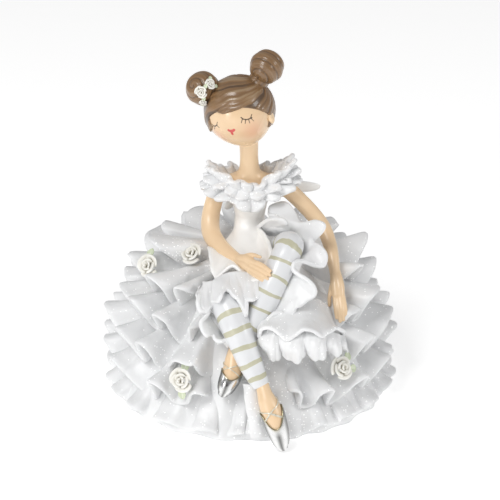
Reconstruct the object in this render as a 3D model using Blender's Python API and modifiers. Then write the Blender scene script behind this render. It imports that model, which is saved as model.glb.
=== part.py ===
"""Seated ballerina figurine, cast in one piece in resin.

Lengths are in metres, +Z is up, and the figure faces -Y. The pose is laid out on a figure 152 shares
tall, and UNIT turns a share into metres.
"""

import math

import bmesh
import bpy
from mathutils import Euler, Matrix, Vector

# Driving dimensions
HEIGHT = 0.152
SKIRT_RADIUS = 0.0650
SKIRT_DEPTH_SHARE = 0.96
CLOTH = 0.0017
SEAM_DEPTH = 0.0025
HEAD_RADIUS = 0.0144
BUN_RADIUS = 0.0071
ROSE_RADIUS = 0.0046
FINGER_RADIUS = 0.00115

# Resolution of the cast: the voxel that fuses the forms, and the triangles of the finished solid
VOXEL = 0.0007
TRIANGLES = 9600
FINE_ABOVE = 0.070
FINE_SHARE = 0.8

UNIT = HEIGHT / 152
SKIRT_UNIT = SKIRT_RADIUS / 65
BELOW = -0.0020
FULL_TURN = 2 * math.pi


def at(x, y, z):
    """A point of the pose, in shares of the figure's height, as metres."""
    return Vector((x, y, z)) * UNIT


def on_skirt(x, y, z):
    """A point on the skirt, whose reach sideways follows the skirt's radius."""
    return Vector((x * SKIRT_UNIT, y * SKIRT_UNIT, z * UNIT))


def posed(points):
    return [at(*p) for p in points]


def along(points, share):
    """The point at a share of the way along a smooth curve through the points."""
    spans = len(points) - 1
    place = min(max(share, 0.0), 1.0) * spans
    i = min(int(place), spans - 1)
    t = place - i
    b, c = points[i], points[i + 1]
    a = points[i - 1] if i > 0 else b * 2 - c
    d = points[i + 2] if i + 2 <= spans else c * 2 - b
    return 0.5 * (
        2 * b + (c - a) * t + (2 * a - 5 * b + 4 * c - d) * t**2 + (3 * b - a - 3 * c + d) * t**3
    )


def turned(degrees):
    """The rotation for three angles in degrees."""
    return Euler([math.radians(a) for a in degrees]).to_matrix()


def add_form(name, bm):
    """A bmesh as one of the closed forms that are fused into the cast."""
    mesh = bpy.data.meshes.new(name)
    bm.to_mesh(mesh)
    bm.free()
    obj = bpy.data.objects.new(name, mesh)
    FORMS.objects.link(obj)
    return obj


def ball(name, centre, radii, turn=(0, 0, 0), segments=24, shape=None):
    """An ellipsoid, or a ball whose unit directions are reshaped by a function before it is placed."""
    bm = bmesh.new()
    bmesh.ops.create_uvsphere(bm, u_segments=segments, v_segments=segments // 2, radius=1.0)
    if shape:
        for vertex in bm.verts:
            vertex.co = shape(vertex.co)
    bm.transform(Matrix.Translation(centre) @ turned(turn).to_4x4() @ Matrix.Diagonal((*radii, 1.0)))
    return add_form(name, bm)


def limb(name, points, radii, samples=24):
    """A round limb: a curve with a bevel whose radius, in shares, follows the limb."""
    curve = bpy.data.curves.new(name, "CURVE")
    curve.dimensions = "3D"
    curve.bevel_depth = UNIT
    curve.bevel_resolution = 4
    curve.use_fill_caps = True
    spline = curve.splines.new("POLY")
    spline.points.add(samples)
    centres = posed(points)
    girths = [Vector((r, 0, 0)) for r in radii]
    for i, point in enumerate(spline.points):
        share = i / samples
        point.co = (*along(centres, share), 1.0)
        point.radius = along(girths, share).x
    drawn = bpy.data.objects.new(name, curve)
    FORMS.objects.link(drawn)
    bpy.context.view_layer.update()
    mesh = bpy.data.meshes.new_from_object(drawn.evaluated_get(bpy.context.evaluated_depsgraph_get()))
    bpy.data.objects.remove(drawn)
    bm = bmesh.new()
    bm.from_mesh(mesh)
    bpy.data.meshes.remove(mesh)
    bmesh.ops.remove_doubles(bm, verts=bm.verts, dist=0.00002)
    return add_form(name, bm)


def cloth(name, place, columns, rows, closed=False, thickness=CLOTH):
    """A sheet of cast cloth: a grid whose two shares, along and across, are placed by a function."""
    bm = bmesh.new()
    bmesh.ops.create_grid(bm, x_segments=columns, y_segments=rows, size=0.5)
    for vertex in bm.verts:
        vertex.co = place(vertex.co.x + 0.5, vertex.co.y + 0.5)
    if closed:
        bmesh.ops.remove_doubles(bm, verts=bm.verts, dist=0.00001)
    obj = add_form(name, bm)
    wall = obj.modifiers.new("wall", "SOLIDIFY")
    wall.thickness = thickness
    wall.offset = 0.0
    return obj


# A flounce is a ring of cloth that hangs in folds: the seam and the hem are (radius, height) in shares,
# swing is how far its folds stand out, lift is how far the hem rises over a fold, and arc is its two
# end angles in degrees, counted from +X towards the back.
def flounce(name, seam, hem, folds, swing, lift, arc=(-90, 270), phase=0.0, wander=0.6,
            centre=(0, 0, 0), depth=SKIRT_DEPTH_SHARE, slope=(0, 0), unit=SKIRT_UNIT, rows=7,
            columns_per_fold=14, thickness=CLOTH):
    start, end = (math.radians(a) for a in arc)
    turns = (end - start) / FULL_TURN

    def place(u, v):
        angle = start + (end - start) * u
        drift = wander * (math.sin(2 * angle + phase) + 0.7 * math.sin(3 * angle + 2.3 * phase)
                          + 0.4 * math.sin(7 * angle + 1.1 * phase))
        fold = folds * angle + phase + drift
        size = 1 + 0.22 * math.sin(5 * angle + 1.9 * phase) + 0.12 * math.sin(11 * angle + phase)
        grown = size * v**1.4
        out = 0.4 * math.sin(v * math.pi / 2) + 0.6 * v
        down = 0.4 * (1 - math.cos(v * math.pi / 2)) + 0.6 * v
        radius = seam[0] + (hem[0] - seam[0]) * out + swing * grown * math.cos(fold)
        height = seam[1] + (hem[1] - seam[1]) * down + lift * grown * math.cos(fold)
        around = angle + v * (1.05 * math.sin(2 * fold) / 2 + 0.35 * math.sin(fold)) / folds
        x, y = radius * math.cos(around), radius * math.sin(around) * depth
        height += slope[0] * x + slope[1] * min(y, 0.0)
        return Vector((x * unit, y * unit, height * UNIT)) + at(*centre)

    return cloth(name, place, int(folds * turns * columns_per_fold), rows, turns > 0.99, thickness)


# The skirt, from the hem on the ground up to the waist
CORE_PROFILE = ((58.5, -2), (58.5, 0), (58.5, 3), (54.5, 11), (50.5, 21), (46.5, 31), (40.5, 43),
                (32, 54), (20, 62), (8, 68), (0, 69))
FLOUNCES = (
    # name, height of the seam, hem, folds, swing, lift, arc, phase
    ("hem_flounce", 18, (59.5, 2.6), 17, 2.6, 0.6, (-90, 270), 0.4),
    ("flounce_1", 29, (59.0, 12.5), 16, 5.6, 4.2, (-68, 250), 2.0),
    ("flounce_2", 42, (56.5, 26.5), 15, 5.4, 4.6, (-76, 252), 4.4),
    ("flounce_3", 52.5, (50.5, 40.0), 13, 5.2, 5.0, (-50, 240), 0.9),
    ("flounce_4", 60.5, (44.0, 52.0), 11, 5.0, 5.0, (-20, 232), 3.1),
    ("flounce_5", 65.5, (36.0, 61.0), 9, 4.4, 4.6, (12, 205), 5.2),
)


def core_radius(height):
    """The mound's radius at a height, both in shares."""
    for (r_low, z_low), (r_high, z_high) in zip(CORE_PROFILE, CORE_PROFILE[1:]):
        if z_low <= height <= z_high:
            return r_low + (r_high - r_low) * (height - z_low) / (z_high - z_low)
    return 0.0


def skirt():
    """The solid mound, turned about the upright axis down to the flat foot, and the flounces on it."""
    mesh = bpy.data.meshes.new("core_profile")
    points = [Vector((r * SKIRT_UNIT, 0, z * UNIT)) for r, z in reversed(CORE_PROFILE)]
    points.append(Vector((0, 0, BELOW)))
    mesh.from_pydata(points, [(i, i + 1) for i in range(len(points) - 1)], [])
    core = bpy.data.objects.new("skirt_core", mesh)
    core.scale = (1, SKIRT_DEPTH_SHARE, 1)
    turning = core.modifiers.new("turned", "SCREW")
    turning.steps = 64
    turning.render_steps = 64
    turning.use_merge_vertices = True
    turning.merge_threshold = 0.00002
    FORMS.objects.link(core)
    for name, height, hem, folds, swing, lift, arc, phase in FLOUNCES:
        seam = (core_radius(height) - SEAM_DEPTH / SKIRT_UNIT, height)
        flounce(name, seam, hem, folds, swing, lift, arc, phase)


# The limbs: the points of each centreline and the radius there, all in shares
LIMBS = {
    "right_leg": (
        [(-5, 2, 60), (-11, -18, 61.5), (-13, -33, 60.5), (-10.2, -40, 57), (-5.8, -47, 48.6), (-2.5, -51, 41),
         (0.8, -54.5, 33), (4.9, -58.5, 23.4)],
        [6.0, 6.4, 6.3, 6.4, 6.2, 5.6, 4.9, 3.6],
    ),
    "left_leg": (
        [(5, 2, 60), (11, -11, 69), (16.4, -24.5, 75), (13.4, -31.5, 70.4), (9.1, -37, 62.6), (5, -41, 54),
         (0, -44.5, 45.6), (-4.1, -46, 38), (-5.8, -46.5, 33.6)],
        [6.0, 6.2, 6.0, 5.9, 5.7, 5.4, 4.6, 3.8, 3.2],
    ),
    "right_foot": (
        [(5.2, -58.6, 23), (7.6, -61.5, 18.2), (9.9, -63.6, 13.2), (12.0, -65.6, 8.0), (13.8, -67, 4.0)],
        [3.5, 4.2, 4.4, 3.3, 1.6],
    ),
    "left_foot": (
        [(-5.8, -46.4, 34), (-7.1, -48.6, 30.4), (-8.7, -50.8, 26.8), (-9.9, -53, 23.6), (-10.4, -54.6, 21.6)],
        [3.2, 3.6, 3.8, 3.1, 1.7],
    ),
    "right_arm": (
        [(-9.5, 3, 92), (-13.6, 3, 89.5), (-15.2, 2.2, 84.5), (-16.8, 0, 77.6), (-16.4, -5, 72), (-12.6, -12, 69),
         (-8, -18, 67.4), (-4.4, -22.4, 66.8)],
        [3.6, 3.8, 3.7, 3.9, 4.0, 3.6, 3.1, 2.6],
    ),
    "left_arm": (
        [(9, 3, 93), (14.4, 2.8, 90.4), (20, 1.8, 85.6), (26, -0.6, 80), (31, -4.4, 74.6), (33.7, -9.6, 69.6),
         (35.0, -15, 64.8), (36.0, -19.6, 60.2)],
        [3.5, 3.7, 3.5, 3.5, 3.3, 3.0, 2.7, 2.3],
    ),
    "right_palm": ([(-5, -21.8, 66.9), (-1.6, -25.2, 66.8), (1.6, -28.6, 66.8)], [2.5, 3.1, 2.6]),
    "left_palm": ([(36.0, -19.4, 60.4), (37.0, -24, 55.6), (37.8, -28, 51.6)], [2.2, 2.9, 2.6]),
}
FINGERS = {
    "right": (
        ((0.4, -28.6, 67.6), (8.0, -34.2, 67.0)), ((0.4, -29.6, 66.8), (6.8, -35.4, 66.2)),
        ((0.0, -30.2, 66.0), (5.2, -35.8, 65.4)), ((-0.6, -30.4, 65.2), (3.4, -35.6, 64.6)),
        ((-2.0, -24.4, 69.2), (4.4, -27.6, 71.2)),
    ),
    "left": (
        ((36.6, -27.2, 52.0), (36.2, -32.2, 47.2)), ((37.5, -28, 51.6), (37.3, -34.0, 45.8)),
        ((38.5, -28, 51.6), (38.6, -34.0, 46.2)), ((39.3, -27.2, 52.2), (39.8, -33.0, 48.0)),
        ((35.2, -21, 57.0), (34.6, -28.6, 48.0)),
    ),
}


def limbs():
    for name, (points, radii) in LIMBS.items():
        limb(name, points, radii)
    tip = FINGER_RADIUS / UNIT
    for side, fingers in FINGERS.items():
        for i, (start, end) in enumerate(fingers):
            middle = ((start[0] + end[0]) / 2, (start[1] + end[1]) / 2, (start[2] + end[2]) / 2 + 0.5)
            limb(f"{side}_finger_{i}", [start, middle, end], [tip * 1.1, tip, tip * 0.7], samples=5)


# The body: the sections of the bodice as height, centre forward or back, half width and half depth
BODICE = ((54, -3, 17, 16), (59, -2, 13.5, 12.5), (64, 0, 9.6, 9.0), (69, 1.5, 6.8, 6.4), (74.5, 2, 5.5, 5.2),
          (80, 2, 6.3, 5.4), (85, 2, 7.6, 5.8), (89, 2.4, 10.8, 6.2), (92.5, 3, 12.6, 6.2), (95, 3, 10, 5.2),
          (97, 2.6, 5.8, 4.6), (99.5, 2.2, 4.3, 4.2), (104.5, 1.2, 3.9, 3.9), (110, 0.2, 4.0, 4.0),
          (119, -0.6, 4.2, 4.2))


def bodice():
    """Hips, waist, chest and neck: one form through elliptical sections."""
    sections = [Vector(s[1:]) for s in BODICE]
    heights = [Vector((s[0], 0, 0)) for s in BODICE]
    bm = bmesh.new()
    bmesh.ops.create_cone(bm, cap_ends=True, segments=28, radius1=1, radius2=1, depth=1)
    uprights = [e for e in bm.edges if abs(e.verts[0].co.z - e.verts[1].co.z) > 0.5]
    bmesh.ops.subdivide_edges(bm, edges=uprights, cuts=40, use_grid_fill=False)
    for vertex in bm.verts:
        share = vertex.co.z + 0.5
        y, a, b = along(sections, share)
        lean = -1.6 * max(0.0, share - 0.62)
        vertex.co = at(vertex.co.x * a + lean, y + vertex.co.y * b, along(heights, share).x)
    return add_form("bodice", bm)


# The overskirt: three sheets, each from a seam on the body to a hem that curls round a knee
SHEETS = {
    "lap_cloth": (
        [(3.4, -2, 74.5), (-2, -4, 73.5), (-6.5, -4, 72), (-9.5, -3, 69), (-12.5, -2, 64.5), (-17, 2, 60)],
        [(3, -6, 75.4), (7.6, -18, 73.2), (9.1, -30, 68.1), (8.7, -34, 65.8), (5, -36, 64.4), (1.7, -37, 64.4),
         (-1.7, -36, 65.8), (-4.1, -34, 68.1), (-6.2, -33, 69.9), (-7.9, -35, 69), (-9.1, -37, 66.7),
         (-12, -36, 64.4), (-14.5, -34, 64.4), (-16.2, -31, 67.6), (-17.9, -27, 70.4), (-19.7, -25, 65.8),
         (-22.3, -22, 61.7), (-25.3, -18, 60.8)],
        80, 1.6,
    ),
    "under_ruffle": (
        [(7, -31, 60), (1, -33, 62), (-6, -33, 64), (-13, -31, 65), (-19, -26, 63), (-25, -20, 60)],
        [(5, -39, 57.2), (2.1, -42, 56.3), (-0.4, -44, 58.6), (-2.9, -42, 61.8), (-5.7, -45, 60.5),
         (-8.6, -44, 63.6), (-11.5, -45, 63.6), (-14.8, -44, 65), (-18.1, -43, 62.7), (-20.6, -42, 59),
         (-19.4, -43, 55.9), (-22.3, -40, 56.3), (-25.7, -37, 57.6), (-29.1, -34, 58)],
        70, 0.8,
    ),
    "knee_frill": (
        [(5, -3, 74), (8.5, -4, 71), (14.8, -8, 73), (21, -14, 72), (22.5, -20, 69), (19.6, -26, 64),
         (15.4, -31, 59), (10.8, -36, 54), (7.2, -40, 48.6), (4.6, -44, 43)],
        [(3.4, -6, 74.9), (7.6, -5, 80.9), (9.7, -4, 85.1), (13.9, -6, 86.9), (17.2, -12, 87.6), (15.5, -16, 83.8),
         (19.4, -13, 80.7), (22.8, -10, 78.5), (27.1, -8, 78.1), (31.3, -8, 79), (30.3, -15, 77.4),
         (26.4, -18, 76), (25.6, -20, 73.7), (28.5, -20, 70.9), (31.5, -21, 68.6), (31.4, -25, 66.3),
         (27.6, -26, 65.8), (23, -25, 68.1), (19.6, -28, 69.9), (17.8, -33, 69), (21.1, -37, 66.3),
         (25.2, -39, 64.9), (27.2, -41, 62.7), (26.3, -43, 59.5), (22.2, -45, 58.2), (18.1, -47, 57.3),
         (14, -45, 56.8), (11.1, -45, 54.1), (11.9, -49, 52.4), (7.4, -49, 50.5), (4.9, -50, 46.5)],
        130, 0.0,
    ),
}


def overskirt():
    for name, (seam, hem, columns, swell) in SHEETS.items():
        seam_points, hem_points = posed(seam), posed(hem)

        def place(u, v):
            raised = at(0, 0, swell) * math.sin(v * math.pi)
            return along(seam_points, u).lerp(along(hem_points, u), v) + raised

        cloth(name, place, columns, 8)


def collar():
    """Two frills round the shoulders: one hangs and one stands."""
    for name, seam, hem, folds, swing, lift, phase in (
        ("collar_lower", (11.8, 94.0), (20.4, 91.6), 17, 1.7, 1.7, 1.2),
        ("collar_upper", (11.8, 93.4), (18.6, 99.0), 15, 1.7, 2.0, 3.3),
    ):
        flounce(name, seam, hem, folds, swing, lift, phase=phase, centre=(0.2, 2, 0), depth=0.72,
                slope=(0.15, 0.30), unit=UNIT, rows=6, wander=0.4, columns_per_fold=10, thickness=CLOTH * 0.9)


# The head, turned and tilted about its middle, and the buns: the way to each, and how far it stands out
HEAD_CENTRE = (-4.2, 0.0, 125.4)
HEAD_TURN = (7, -19, -18)
BUNS = {"left_bun": ((11.2, 1.5, 19.2), 1.1), "right_bun": ((-15.4, 1.5, 9.6), 0.55)}
EAR = (0.97, -0.20, -0.32)


def bun_centre(name):
    way, reach = BUNS[name]
    return at(*HEAD_CENTRE) + Vector(way).normalized() * (HEAD_RADIUS + BUN_RADIUS * reach)


def head_shape(direction):
    """Round at the crown, and drawn in a little to the chin."""
    x, y, z = direction
    narrow = 1 - 0.16 * max(0.0, -z) ** 1.5
    return Vector((x * narrow, y * narrow, z * (1.05 if z < 0 else 1.02)))


def hair_shape(direction):
    """The head again, standing proud inside the hairline and sunk below the skin on the face."""
    x, y, z = direction
    fringe = z - 0.39 - 0.35 * max(0.0, -x - 0.12)
    side = y + 0.45 + 0.86 * max(z, -0.2)
    lock = -x - 0.64 - max(0.0, -z)
    inside = max(fringe, side, lock) if z > -0.6 - 0.2 * y else -1.0
    cover = min(max(inside / 0.08 + 0.5, 0.0), 1.0)
    return head_shape(direction) * (0.95 + 0.12 * cover)


def head():
    ball("head", at(*HEAD_CENTRE), (HEAD_RADIUS,) * 3, HEAD_TURN, 40, head_shape)
    ball("hair", at(*HEAD_CENTRE), (HEAD_RADIUS,) * 3, HEAD_TURN, 64, hair_shape)
    for name in BUNS:
        centre = bun_centre(name)
        inward = (at(*HEAD_CENTRE) - centre).normalized()
        ball(name, centre, (BUN_RADIUS,) * 3)
        ball(f"{name}_root", centre + inward * BUN_RADIUS * 0.95, (BUN_RADIUS * 0.62,) * 3)
    ear = at(*HEAD_CENTRE) + turned(HEAD_TURN) @ Vector(EAR) * HEAD_RADIUS
    ball("ear", ear, (HEAD_RADIUS * 0.10, HEAD_RADIUS * 0.14, HEAD_RADIUS * 0.2), HEAD_TURN)


# The sash tied behind the shoulders: the two ends of each lobe, its half thickness and half height
BOW = {
    "bow_left_loop": ((2, 9, 88.5), (30.5, 14.5, 85.4), (1.6, 2.7)),
    "bow_right_loop": ((-2, 9, 88.5), (-18, 14.5, 87), (1.6, 2.7)),
    "bow_left_tail": ((1, 10, 87), (24, 14.5, 81.5), (1.4, 2.0)),
    "bow_right_tail": ((-1, 10, 87), (-11, 15, 75), (1.4, 2.2)),
    "bow_knot": ((-3.2, 9.0, 87.6), (3.2, 9.0, 87.6), (2.8, 3.0)),
}


def bow():
    for name, (start, end, (thick, high)) in BOW.items():
        run = at(*end) - at(*start)
        turn = [math.degrees(a) for a in run.to_track_quat("X", "Z").to_euler()]
        ball(name, at(*start) + run / 2, (run.length / 2, thick * UNIT, high * UNIT), turn)


# Roses on the skirt: the place of each and the way it faces
ROSES = {
    "rose_side": ((-42.5, -11.5, 60.0), (-0.75, -0.55, 0.6)),
    "rose_lap": ((-24.5, -13, 65.5), (-0.35, -0.5, 0.8)),
    "rose_front_right": ((-28.0, -51, 25.6), (-0.4, -0.85, 0.4)),
    "rose_front_left": ((38.0, -44.5, 28.0), (0.55, -0.75, 0.45)),
}

# Roses in the hair: the way from the right bun's middle, and the share of the full size
HAIR_ROSES = {
    "hair_rose_low": ((-0.05, -1.0, 0.15), 0.6),
    "hair_rose_high": ((0.42, -0.75, 0.5), 0.55),
    "hair_rose_bud": ((0.05, -0.85, -0.5), 0.42),
}


def rose_shape(direction):
    """A flattened bud with a spiral ridge of petals."""
    x, y, z = direction
    ridge = 1 + 0.10 * math.sin(3 * math.atan2(y, x) + 9 * z)
    return Vector((x * ridge, y * ridge, z * 0.62 * ridge))


def rose(name, centre, facing, share):
    turn = [math.degrees(a) for a in facing.to_track_quat("Z", "Y").to_euler()]
    ball(name, centre, (ROSE_RADIUS * share,) * 3, turn, 28, rose_shape)


def roses():
    for name, (centre, facing) in ROSES.items():
        rose(name, on_skirt(*centre), Vector(facing), 1.0)
    for name, (way, share) in HAIR_ROSES.items():
        way = Vector(way).normalized()
        rose(name, bun_centre("right_bun") + way * (BUN_RADIUS + ROSE_RADIUS * share * 0.3), way, share)


def shaded(name, colour, roughness, metallic):
    material = bpy.data.materials.new(name)
    material.use_nodes = True
    surface = material.node_tree.nodes["Principled BSDF"]
    surface.inputs["Base Color"].default_value = (*colour, 1.0)
    surface.inputs["Roughness"].default_value = roughness
    surface.inputs["Metallic"].default_value = metallic
    return material


def as_mesh(obj):
    """The object's mesh with its modifiers carried out."""
    bpy.context.view_layer.update()
    return bpy.data.meshes.new_from_object(obj.evaluated_get(bpy.context.evaluated_depsgraph_get()))


def keep_outer_skin(mesh):
    """Removes the walls of the small voids that are left closed between the forms."""
    bm = bmesh.new()
    bm.from_mesh(mesh)
    loose = set(bm.verts)
    skins = []
    while loose:
        skin = [loose.pop()]
        for vertex in skin:
            for edge in vertex.link_edges:
                other = edge.other_vert(vertex)
                if other in loose:
                    loose.remove(other)
                    skin.append(other)
        skins.append(skin)
    skins.sort(key=len)
    voids = [vertex for skin in skins[:-1] for vertex in skin]
    bmesh.ops.delete(bm, geom=voids, context="VERTS")
    bm.to_mesh(mesh)
    bm.free()


def pinched(mesh):
    """Whether thinning has drawn a narrow gap together into an edge or a point of contact."""
    bm = bmesh.new()
    bm.from_mesh(mesh)
    found = not all(edge.is_manifold for edge in bm.edges) or not all(vertex.is_manifold for vertex in bm.verts)
    bm.free()
    return found


def cast():
    """Fuses the forms into one body, thins its triangles, cuts it flat underneath and centres it."""
    bm = bmesh.new()
    for form in FORMS.objects:
        mesh = as_mesh(form)
        mesh.transform(form.matrix_world)
        bm.from_mesh(mesh)
        bpy.data.meshes.remove(mesh)
    joined = add_form("joined", bm)
    fusing = joined.modifiers.new("fused", "REMESH")
    fusing.mode = "VOXEL"
    fusing.voxel_size = VOXEL
    figurine = bpy.data.objects.new("ballerina_figurine", as_mesh(joined))
    keep_outer_skin(figurine.data)
    PART.objects.link(figurine)

    # The head, the arms and the bodice keep more of their triangles than the skirt
    fine = figurine.vertex_groups.new(name="fine")
    fine.add([v.index for v in figurine.data.vertices if v.co.z > FINE_ABOVE], FINE_SHARE, "REPLACE")
    fine.add([v.index for v in figurine.data.vertices if v.co.z <= FINE_ABOVE], 1.0, "REPLACE")
    thinning = figurine.modifiers.new("thinned", "DECIMATE")
    thinning.vertex_group = "fine"
    thinning.use_collapse_triangulate = True
    share = 1.0
    while share > 0.8:
        thinning.ratio = share * TRIANGLES / (2 * len(figurine.data.polygons))
        mesh = as_mesh(figurine)
        if not pinched(mesh):
            break
        share -= 0.015
    figurine.modifiers.clear()
    figurine.vertex_groups.clear()

    bm = bmesh.new()
    bm.from_mesh(mesh)
    everything = bm.verts[:] + bm.edges[:] + bm.faces[:]
    bmesh.ops.bisect_plane(bm, geom=everything, plane_co=(0, 0, 0), plane_no=(0, 0, 1), clear_inner=True)
    rim = [edge for edge in bm.edges if edge.is_boundary]
    bmesh.ops.holes_fill(bm, edges=rim, sides=0)
    bmesh.ops.triangulate(bm, faces=bm.faces[:])
    for axis in range(2):
        values = [vertex.co[axis] for vertex in bm.verts]
        middle = (min(values) + max(values)) / 2
        for vertex in bm.verts:
            vertex.co[axis] -= middle
    bm.to_mesh(figurine.data)
    bm.free()
    figurine.data.materials.append(shaded("white_resin", (0.78, 0.79, 0.82), 0.55, 0.0))
    return figurine


def new_collection(name):
    collection = bpy.data.collections.new(name)
    bpy.context.scene.collection.children.link(collection)
    return collection


for old in list(bpy.data.objects):
    bpy.data.objects.remove(old)
PART = new_collection("ballerina_figurine")
FORMS = new_collection("forms")
skirt()
limbs()
bodice()
overskirt()
collar()
head()
bow()
roses()
cast()
for form in list(FORMS.objects):
    bpy.data.objects.remove(form)
bpy.data.collections.remove(FORMS)
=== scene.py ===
import math
import bmesh
import bpy
from mathutils import Euler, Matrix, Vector, noise


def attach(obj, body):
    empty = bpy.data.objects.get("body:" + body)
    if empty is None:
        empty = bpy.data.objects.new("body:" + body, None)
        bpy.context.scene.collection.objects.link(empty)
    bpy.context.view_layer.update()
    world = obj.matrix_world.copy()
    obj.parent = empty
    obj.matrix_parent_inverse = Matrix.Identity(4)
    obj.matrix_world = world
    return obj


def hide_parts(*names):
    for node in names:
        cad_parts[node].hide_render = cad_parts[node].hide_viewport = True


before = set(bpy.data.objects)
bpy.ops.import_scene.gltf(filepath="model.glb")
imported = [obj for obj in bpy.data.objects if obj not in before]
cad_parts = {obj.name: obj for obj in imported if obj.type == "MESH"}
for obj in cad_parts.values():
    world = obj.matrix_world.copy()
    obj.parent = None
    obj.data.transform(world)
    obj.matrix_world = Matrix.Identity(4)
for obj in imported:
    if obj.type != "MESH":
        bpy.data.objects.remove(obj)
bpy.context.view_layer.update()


# The camera looks down at the seated figure from straight in front, 24 degrees above the shelf and
# 0.9 m away, and takes in 215 mm across the middle of the figure. Places on the figure are in
# millimetres on the cast, and at() sets them in the figure's frame in metres.
MM = 0.001
CAST_CENTRE = Vector((0.39, 4.18, 0.0))
VIEW_DOWN = math.radians(24)
VIEW_FROM = 900
VIEW_WIDTH = 215
VIEW_MIDDLE = (0, 0, 62)
SENSOR_WIDTH = 36


def at(x, y, z):
    """A place on the cast, in millimetres, as metres in the figure's frame."""
    return (Vector((x, y, z)) + CAST_CENTRE) * MM


def stand(name, data):
    """A new object in the scene."""
    obj = bpy.data.objects.new(name, data)
    bpy.context.scene.collection.objects.link(obj)
    return obj


lens = bpy.data.cameras.new("camera")
lens.sensor_width = SENSOR_WIDTH
lens.lens = SENSOR_WIDTH * VIEW_FROM / VIEW_WIDTH
camera = stand("camera", lens)
backward = Vector((0, -math.cos(VIEW_DOWN), math.sin(VIEW_DOWN)))
camera.location = at(*VIEW_MIDDLE) + backward * VIEW_FROM * MM
camera.rotation_euler = (math.pi / 2 - VIEW_DOWN, 0, 0)
bpy.context.scene.camera = camera


# The studio: a white laminate table that runs out of view on all sides, one large soft light above
# and in front, smaller ones from the left and the right, and a low one in front whose reflection lies
# on the face and hands. Its places are in metres.
TABLE_REACH = 3.0
LIT_PLACE = Vector((0, 0, 0.06))


def formed(name, bm):
    """A bmesh as a new object in the scene."""
    mesh = bpy.data.meshes.new(name)
    bm.to_mesh(mesh)
    bm.free()
    return stand(name, mesh)


def linear(hex_code):
    """An sRGB colour such as F1ECE6 as the linear colour that a shader takes."""
    shares = [int(hex_code[i:i + 2], 16) / 255 for i in (0, 2, 4)]
    return (*[c / 12.92 if c <= 0.04045 else ((c + 0.055) / 1.055)**2.4 for c in shares], 1.0)


def add(tree, kind, inputs=None, **settings):
    """Adds one node with its settings; each input takes a value, or a link from another node's socket."""
    node = tree.nodes.new(kind)
    for key, value in settings.items():
        setattr(node, key, value)
    for key, value in (inputs or {}).items():
        if isinstance(value, bpy.types.NodeSocket):
            tree.links.new(value, node.inputs[key])
        else:
            node.inputs[key].default_value = value
    return node


def blank(name):
    """A new material, its empty node tree, and the place on the object that its patterns read."""
    material = bpy.data.materials.new(name)
    material.use_nodes = True
    tree = material.node_tree
    tree.nodes.clear()
    return material, tree, add(tree, "ShaderNodeTexCoord").outputs["Object"]


def every(spacing):
    """The scale of a pattern whose largest marks lie this many millimetres apart."""
    return 1 / (spacing * MM)


def mottled(tree, place, spacing, detail, dark, pale, **others):
    """A surface mottled between two colours in marks of a spacing: how pale it is, and its colour."""
    marks = add(tree, "ShaderNodeTexNoise", {
        "Vector": place, "Scale": every(spacing), "Detail": detail, **others,
    })
    tone = add(tree, "ShaderNodeMix", {0: marks.outputs["Fac"], 6: linear(dark), 7: linear(pale)},
               data_type="RGBA")
    return marks.outputs["Fac"], tone.outputs[2]


WHITE = linear("FFFFFF")

# White laminate: satin melamine, with a fine grain of about 1 mm that shows only as a soft, even white.
table_laminate, tree, place = blank("table_white_laminate")
grain, tone = mottled(tree, place, 1.11, 3.0, "FAFAFA", "FFFFFF")
rough = add(tree, "ShaderNodeMapRange", {"Value": grain, "To Min": 0.55, "To Max": 0.7})
surface = add(tree, "ShaderNodeBsdfPrincipled", {
    "Base Color": tone, "Roughness": rough.outputs["Result"],
    "Emission Color": WHITE, "Emission Strength": 0.41,
})
add(tree, "ShaderNodeOutputMaterial", {"Surface": surface.outputs[0]})

bm = bmesh.new()
bmesh.ops.create_grid(bm, x_segments=24, y_segments=24, size=TABLE_REACH)
table = formed("table", bm)
table.data.materials.append(table_laminate)

for name, place, size, watts in (
    ("light_above", (-0.55, -0.75, 1.15), 0.6, 8),
    ("light_left", (-1.1, -0.2, 0.55), 0.4, 0.6),
    ("light_front", (-0.66, -0.78, 0.24), 0.3, 1.6),
    ("light_right", (1, -0.45, 0.7), 0.4, 3.4),
):
    lamp = bpy.data.lights.new(name, "AREA")
    lamp.shape = "DISK"
    lamp.size = size
    lamp.energy = watts
    light = stand(name, lamp)
    light.location = place
    light.rotation_euler = (LIT_PLACE - Vector(place)).to_track_quat("-Z", "Y").to_euler()

studio = bpy.data.worlds.new("studio")
studio.use_nodes = True
walls = studio.node_tree.nodes["Background"]
walls.inputs["Color"].default_value = WHITE
walls.inputs["Strength"].default_value = 0.34
bpy.context.scene.world = studio
bpy.context.scene.view_settings.view_transform = "Standard"


# The skirt's mound: the solid body of the casting, a dome with a flat foot that carries the ruffles.
# Polyresin poured in a rubber mould, painted satin white and dusted with fine glitter in the wet
# varnish. Between the ruffles it shows soft folds that run down to the foot.
SEAM_GAP = 0.01  # points nearer than this, in millimetres, are one


def sheet(columns, rows, place, closed=False, marks=None):
    """A grid placed point by point from two shares, across and down; marks are numbers kept on its points."""
    bm = bmesh.new()
    bmesh.ops.create_grid(bm, x_segments=columns, y_segments=rows, size=0.5)
    layers = {name: bm.verts.layers.float.new(name) for name in marks or {}}
    for vertex in bm.verts:
        u, v = vertex.co.x + 0.5, vertex.co.y + 0.5
        for name, layer in layers.items():
            vertex[layer] = marks[name](u, v)
        vertex.co = place(u, v)
    if closed:
        bmesh.ops.remove_doubles(bm, verts=bm.verts, dist=SEAM_GAP * MM)
    return bm


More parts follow.
